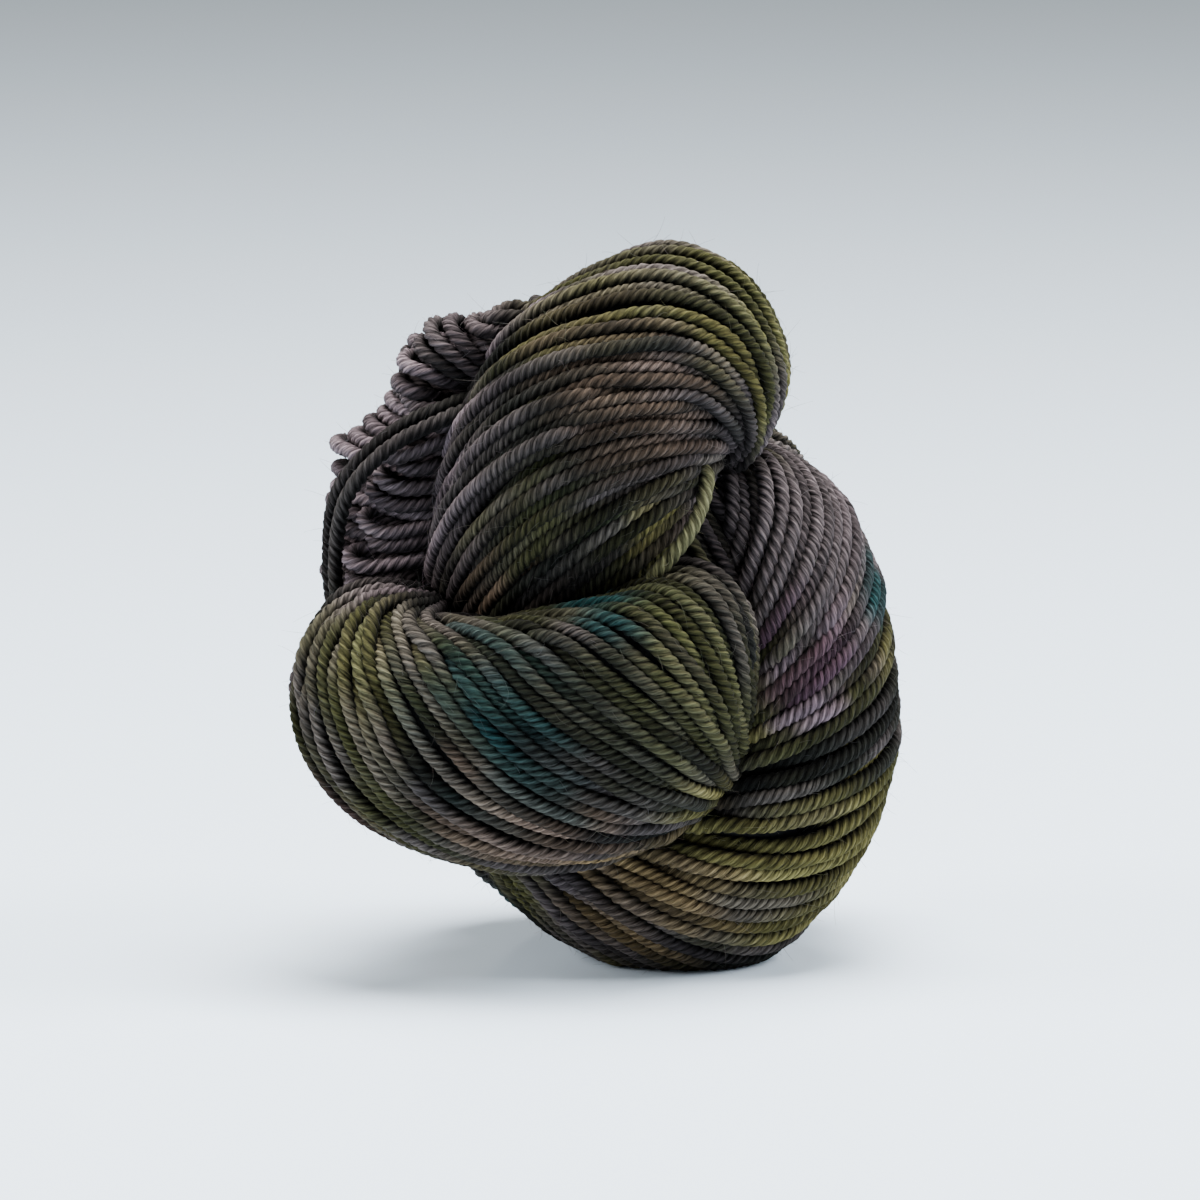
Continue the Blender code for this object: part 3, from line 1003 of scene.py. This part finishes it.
def dye_and_shade_of(path, seed):
    """The dye at each ring of a strand, with painted shade deep in a crease, and its open side."""
    read = np.unique(np.append(np.arange(0, len(path), DYE_AND_SHADE_STEP), len(path) - 1))
    walked = walked_along(path)
    rows = []
    for index in read:
        share, facing = open_side(path[index])
        # Painted shade: the fewer directions a place is open to, the darker its colour.
        opened = soft_step((share - SHADE_LOW) / (SHADE_HIGH - SHADE_LOW))
        colour = dye_and_shade_at(path[index], seed, walked[index]) * (SHADE_DARK + (1 - SHADE_DARK) * opened)
        rows.append((*colour, *facing))
    rings = np.arange(len(path))
    columns = np.stack([np.interp(rings, read, column) for column in np.array(rows).T], axis=1)
    return columns[:, :3], columns[:, 3:]


# %% [markdown]
# ## The finish of the wool
# Close up, wool is thousands of fibres that lie along each ply, with soft darker grooves
# between the plies.  It hardly shines.  The colour comes from the dye, and the shade in
# the grooves and between the fibres is painted into it.  Long thin noise, stretched along
# the plies, makes the fibres in colour and bump.  It is a group of nodes on the map along
# and round a strand, so the fibres turn with the plies.

# %% The fibre group
FIBRES_ALONG = 0.45       # changes of the noise in a millimetre along the strand
FIBRES_ROUND = 13.0       # changes once round it
FIBRE_SLANT = 0.5         # how much the fibres lean to the plies
FIBRE_RELIEF = 2.2        # height of the fibres, as a share of a ply's hump
GROOVE_LEVEL, HUMP_LEVEL = 0.43, 0.76   # painted shade: brightness in a groove, and what a hump adds
DARKEST_FIBRE = 0.15


def multiplied(tree, first, second, share):
    """Two colours multiplied, and by what share of the way."""
    mix = tree.nodes.new("ShaderNodeMix")
    mix.data_type = "RGBA"
    mix.blend_type = "MULTIPLY"
    mix.inputs["Factor"].default_value = share
    tree.links.new(first, mix.inputs["A"])
    tree.links.new(second, mix.inputs["B"])
    return mix.outputs["Result"]


def fibre_and_shade_group():
    """Fibre streaks, and painted shade in the ply grooves, on the map that runs along and round a strand.
    """
    group = bpy.data.node_groups.new("wool_fibres_and_shade", "ShaderNodeTree")
    for name, way, kind in (("Dye_and_shade", "INPUT", "Color"), ("Contrast", "INPUT", "Float"),
                            ("Colour", "OUTPUT", "Color"), ("Height", "OUTPUT", "Float"),
                            ("Roughness", "OUTPUT", "Float")):
        group.interface.new_socket(name, in_out=way, socket_type="NodeSocket" + kind)
    nodes, links = group.nodes, group.links
    inputs = nodes.new("NodeGroupInput")
    outputs = nodes.new("NodeGroupOutput")
    place = nodes.new("ShaderNodeUVMap")
    place.uv_map = "strand"
    parts = nodes.new("ShaderNodeSeparateXYZ")
    links.new(place.outputs["UV"], parts.inputs[0])

    def worked(value, *steps):
        """A value run through math nodes, one for each operation and other value."""
        for operation, other in steps:
            node = nodes.new("ShaderNodeMath")
            node.operation = operation
            links.new(value, node.inputs[0])
            if isinstance(other, float):
                node.inputs[1].default_value = other
            else:
                links.new(other, node.inputs[1])
            value = node.outputs[0]
        return value

    # The hump of each ply: 1 on its crest, 0 in the groove.
    along, round_it = parts.outputs["X"], parts.outputs["Y"]
    hump = worked(round_it, ("MULTIPLY", float(PLIES)), ("FRACT", 0.0), ("SUBTRACT", 0.5),
                  ("ABSOLUTE", 0.0), ("MULTIPLY", -2.0), ("ADD", 1.0))

    # Fibres: noise that is long along the ply and short across it.
    slant = worked(along, ("MULTIPLY", FIBRE_SLANT))
    vector = nodes.new("ShaderNodeCombineXYZ")
    links.new(worked(along, ("MULTIPLY", FIBRES_ALONG)), vector.inputs[0])
    links.new(worked(round_it, ("MULTIPLY", FIBRES_ROUND), ("ADD", slant)), vector.inputs[1])
    fibres = nodes.new("ShaderNodeTexNoise")
    fibres.inputs["Scale"].default_value = 1.0
    fibres.inputs["Detail"].default_value = 6.0
    fibres.inputs["Roughness"].default_value = 0.6
    links.new(vector.outputs[0], fibres.inputs["Vector"])
    streak = fibres.outputs["Fac"]

    # Colour: painted shade, darker in the grooves and between the fibres.
    shade = worked(streak, ("SUBTRACT", 0.5), ("MULTIPLY", inputs.outputs["Contrast"]),
                   ("ADD", 1.0), ("MAXIMUM", DARKEST_FIBRE))
    level = worked(hump, ("MULTIPLY", HUMP_LEVEL), ("ADD", GROOVE_LEVEL), ("MULTIPLY", shade))
    grey = nodes.new("ShaderNodeCombineColor")
    for socket in grey.inputs[:3]:
        links.new(level, socket)
    colour = multiplied(group, inputs.outputs["Dye_and_shade"], grey.outputs[0], 1.0)
    links.new(colour, outputs.inputs["Colour"])

    height = worked(streak, ("MULTIPLY", FIBRE_RELIEF), ("ADD", hump))
    links.new(height, outputs.inputs["Height"])
    rough = worked(streak, ("MULTIPLY", 0.3), ("ADD", 0.7))
    links.new(rough, outputs.inputs["Roughness"])
    return group


wool_fibres_and_shade = fibre_and_shade_group()
print("wool fibres:", len(wool_fibres_and_shade.nodes), "nodes")


# %% The wool
def dye_and_shade_node(tree):
    """The node that reads the dye and painted shade written on the mesh."""
    dye_and_shade = tree.nodes.new("ShaderNodeAttribute")
    dye_and_shade.attribute_name = "dye_and_shade"
    return dye_and_shade


def add_bump(tree, shader, height, distance):
    """Let a height, times a distance in metres, tilt the light on a surface."""
    relief = tree.nodes.new("ShaderNodeBump")
    relief.inputs["Distance"].default_value = distance
    tree.links.new(height, relief.inputs["Height"])
    tree.links.new(relief.outputs["Normal"], shader.inputs["Normal"])


def wool_finish(name, contrast):
    """Dyed wool: the fibre group, which paints shade into the ply grooves, over the dye and painted shade
    that each strand carries.
    """
    material, tree, shader = plain_finish(name, (0.06, 0.06, 0.05), 0.8)
    shader.inputs["Sheen Weight"].default_value = 0.02
    shader.inputs["Sheen Roughness"].default_value = 0.45
    shader.inputs["Sheen Tint"].default_value = (0.75, 0.74, 0.72, 1)
    shader.inputs["Specular IOR Level"].default_value = 0.03
    dye_and_shade = dye_and_shade_node(tree)
    fibres = tree.nodes.new("ShaderNodeGroup")
    fibres.node_tree = wool_fibres_and_shade
    fibres.inputs["Contrast"].default_value = contrast
    tree.links.new(dye_and_shade.outputs["Color"], fibres.inputs["Dye_and_shade"])
    tree.links.new(fibres.outputs["Colour"], shader.inputs["Base Color"])
    tree.links.new(fibres.outputs["Roughness"], shader.inputs["Roughness"])
    add_bump(tree, shader, fibres.outputs["Height"], 0.0002)
    return material


wool = wool_finish("dyed_wool_with_painted_shade", contrast=5.0)


# %% Build the strands of each fold
def add_piece(name, mesh, material):
    """A new object for a finished mesh, which rides with the skein."""
    mesh.materials.append(material)
    piece = bpy.data.objects.new(name, mesh)
    bpy.context.scene.collection.objects.link(piece)
    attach(piece, "root")
    return piece


# How much fuller strands are than YARN where a fold would otherwise show gaps.
FULLNESS = {
    "front_fold": 1.02, "side_fold": 1.12, "lower_loops": 1.06, "upper_loops": 1.06, "crossing": 1.04,
}
RUNS_A_PIECE = 45         # keeps a piece well under 200,000 triangles


def strands_piece(name, chosen):
    """Make some of the visible runs one piece, and give back their paths and seeds."""
    paths, radii, seeds = [], [], []
    for fold, number, path, first in chosen:
        path = smooth_path(path, COARSE_STEP if fold in COARSE_FOLDS else RING_STEP)
        paths.append(path)
        seeds.append(number + 0.013 * first)
        walked = walked_along(path)
        size = 1.02 + 0.05 * math.sin(number * 4.7) + 0.08 * wander(number, walked, 9.0)
        radii.append(YARN / 2 * size * FULLNESS.get(fold, 1.0))
    mesh, rings = mesh_of_strands(name, paths, radii, seeds)
    paint_dye_and_shade(mesh, paths, rings, seeds)
    triangles = sum(len(face.vertices) - 2 for face in mesh.polygons)
    print(f"{name}: {len(paths)} runs, {triangles} triangles")
    add_piece(name, mesh, wool)
    return paths, seeds


shown_paths, shown_seeds = [], []
for fold in FOLDS:
    fold_runs = [run for run in runs if run[0] == fold]
    for part, begin in enumerate(range(0, len(fold_runs), RUNS_A_PIECE)):
        chosen = fold_runs[begin:begin + RUNS_A_PIECE]
        paths, seeds = strands_piece(f"{fold}_strands_{part + 1}", chosen)
        shown_paths += paths
        shown_seeds += seeds

# %% [markdown]
# ## Loose fibres
# Wool is never quite smooth: short ends of fibre stand off the strands and make a soft
# haze on the outline.  Each is a thin tapered tube that starts inside a strand, leaves it
# on its open side and curls over.

# %% Where a loose fibre lies
FIBRES = 3000
FIBRE_POINTS = 6
FIBRE_SIDES = 3
FIBRE_THICK = 0.035       # radius at the root, in millimetres
FIBRE_GAP = 0.1           # lowest that a fibre reaches
STRAY_PLACE = np.array([-34.0, -18.0, 68.0])   # by the front loops the fibres are longer
STRAY_REACH = 13.0
OPEN_ENOUGH = 0.3         # open side of a place that fibres stand off from
FIBRE_GAIN, FIBRE_HAZE = 1.3, 0.008   # how much paler a fibre is than its strand


def loose_fibre(path, index, chance):
    """Points along one fibre that leaves a strand."""
    _, facing = open_side(path[index])
    along = path[min(index + 1, len(path) - 1)] - path[max(index - 1, 0)]
    along = along / np.linalg.norm(along) * chance.choice((-1, 1))
    beside = np.cross(along, facing)
    length = chance.uniform(1.5, 4.5)
    if np.linalg.norm(path[index] - STRAY_PLACE) < STRAY_REACH:
        length *= 1.8
    leave = facing * chance.uniform(0.25, 0.9) + along * chance.uniform(0.4, 1.0)
    leave = leave + beside * chance.uniform(-0.6, 0.6)
    leave = leave / np.linalg.norm(leave)
    curl = chance.normal(size=3) * 0.5
    t = np.linspace(0, 1, FIBRE_POINTS)[:, None]
    start = path[index] + facing * YARN * 0.36 + beside * YARN * chance.uniform(-0.35, 0.35)
    return start + leave * length * t + curl * length * t**2 * 0.6


# %% Make the loose fibres
def fibre_tube(line, offset):
    """Points and faces of one thin tapered tube."""
    side, other = carry_frames(line)
    radius = FIBRE_THICK * np.linspace(1.0, 0.35, FIBRE_POINTS)
    angle = 2 * np.pi * np.arange(FIBRE_SIDES) / FIBRE_SIDES
    points = rings_round(line, side, other, radius[:, None], angle).reshape(-1, 3)
    faces = []
    for step in range(FIBRE_POINTS - 1):
        low = offset + step * FIBRE_SIDES
        high = low + FIBRE_SIDES
        for corner in range(FIBRE_SIDES):
            beside = (corner + 1) % FIBRE_SIDES
            faces.append((low + corner, low + beside, high + beside, high + corner))
    last_ring = offset + (FIBRE_POINTS - 1) * FIBRE_SIDES
    faces.append((offset + 2, offset + 1, offset))
    faces.append((last_ring, last_ring + 1, last_ring + 2))
    return points, faces


chance = np.random.default_rng(7)
sizes = np.array([len(path) for path in shown_paths])
fibre_points, fibre_faces, fibre_colours = [], [], []
offset = 0
for fibre in range(FIBRES):
    which = chance.choice(len(shown_paths), p=sizes / sizes.sum())
    path, seed = shown_paths[which], shown_seeds[which]
    index = int(chance.integers(0, len(path)))
    if open_side(path[index])[0] < OPEN_ENOUGH:
        continue
    points, faces = fibre_tube(loose_fibre(path, index, chance), offset)
    fibre_points.append(points)
    fibre_faces += faces
    offset += len(points)
    dye_and_shade = dye_and_shade_at(path[index], seed, walked_along(path)[index])
    fibre_colours += [dye_and_shade * FIBRE_GAIN + FIBRE_HAZE] * len(points)

fibre_points = np.vstack(fibre_points)
fibre_points[:, 2] = np.maximum(fibre_points[:, 2], FIBRE_GAP)
fibre_mesh = bpy.data.meshes.new("loose_fibres")
fibre_mesh.from_pydata([tuple(v) for v in fibre_points * MM], [], fibre_faces)
write_dye_and_shade(fibre_mesh, np.array(fibre_colours))
fibre_mesh.shade_smooth()


def mottle_node(tree, scale, detail):
    """Noise on the place in the skein, with so many changes to the metre."""
    place = tree.nodes.new("ShaderNodeTexCoord")
    mottle = tree.nodes.new("ShaderNodeTexNoise")
    mottle.inputs["Scale"].default_value = scale
    mottle.inputs["Detail"].default_value = detail
    tree.links.new(place.outputs["Object"], mottle.inputs["Vector"])
    return mottle


def loose_finish():
    """The look of single fibres: the strand's dye, with its patches of painted shade, lighter and darker
    from place to place.
    """
    material, tree, shader = plain_finish("loose_wool", (0.1, 0.1, 0.09), 0.6)
    shader.inputs["Specular IOR Level"].default_value = 0.2
    dye_and_shade = dye_and_shade_node(tree)
    mottle = mottle_node(tree, 900.0, 2.0)
    colour = multiplied(tree, dye_and_shade.outputs["Color"], mottle.outputs["Color"], 0.7)
    tree.links.new(colour, shader.inputs["Base Color"])
    return material


add_piece("loose_fibres", fibre_mesh, loose_finish())
print(len(fibre_points) // (FIBRE_POINTS * FIBRE_SIDES), "loose fibres")

# %% [markdown]
# ## The imported yarn as a piece
# The body inside is left smooth, because only glimpses of it show.  Its finish is nearly
# black wool with a mottled grain: the black is painted shade for the depth between the
# strands.  It stands for the plain solid of the imported model.

# %% The imported yarn as a piece
inside_mesh = bpy.data.meshes.new("packed_yarn")
inside_mesh.from_pydata([tuple(v) for v in inside_vertices * MM], [], inside_faces)
inside_mesh.validate()
inside_mesh.shade_smooth()


def packed_shade_finish():
    """Wool deep inside, painted nearly black as shade: mottled, with a rough grain."""
    material, tree, shader = plain_finish("packed_wool_painted_shade", (0.008, 0.008, 0.009), 0.95)
    shader.inputs["Specular IOR Level"].default_value = 0.05
    mottle = mottle_node(tree, 400.0, 5.0)
    shades = tree.nodes.new("ShaderNodeValToRGB")
    dark, light = shades.color_ramp.elements
    dark.position, dark.color = 0.35, (0.003, 0.003, 0.0035, 1)
    light.position, light.color = 0.7, (0.014, 0.014, 0.014, 1)
    tree.links.new(mottle.outputs["Fac"], shades.inputs["Fac"])
    tree.links.new(shades.outputs["Color"], shader.inputs["Base Color"])
    add_bump(tree, shader, mottle.outputs["Fac"], 0.0006)
    return material


packed = add_piece("packed_yarn", inside_mesh, packed_shade_finish())
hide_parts("skein")
print("packed yarn:", len(inside_mesh.polygons), "faces")
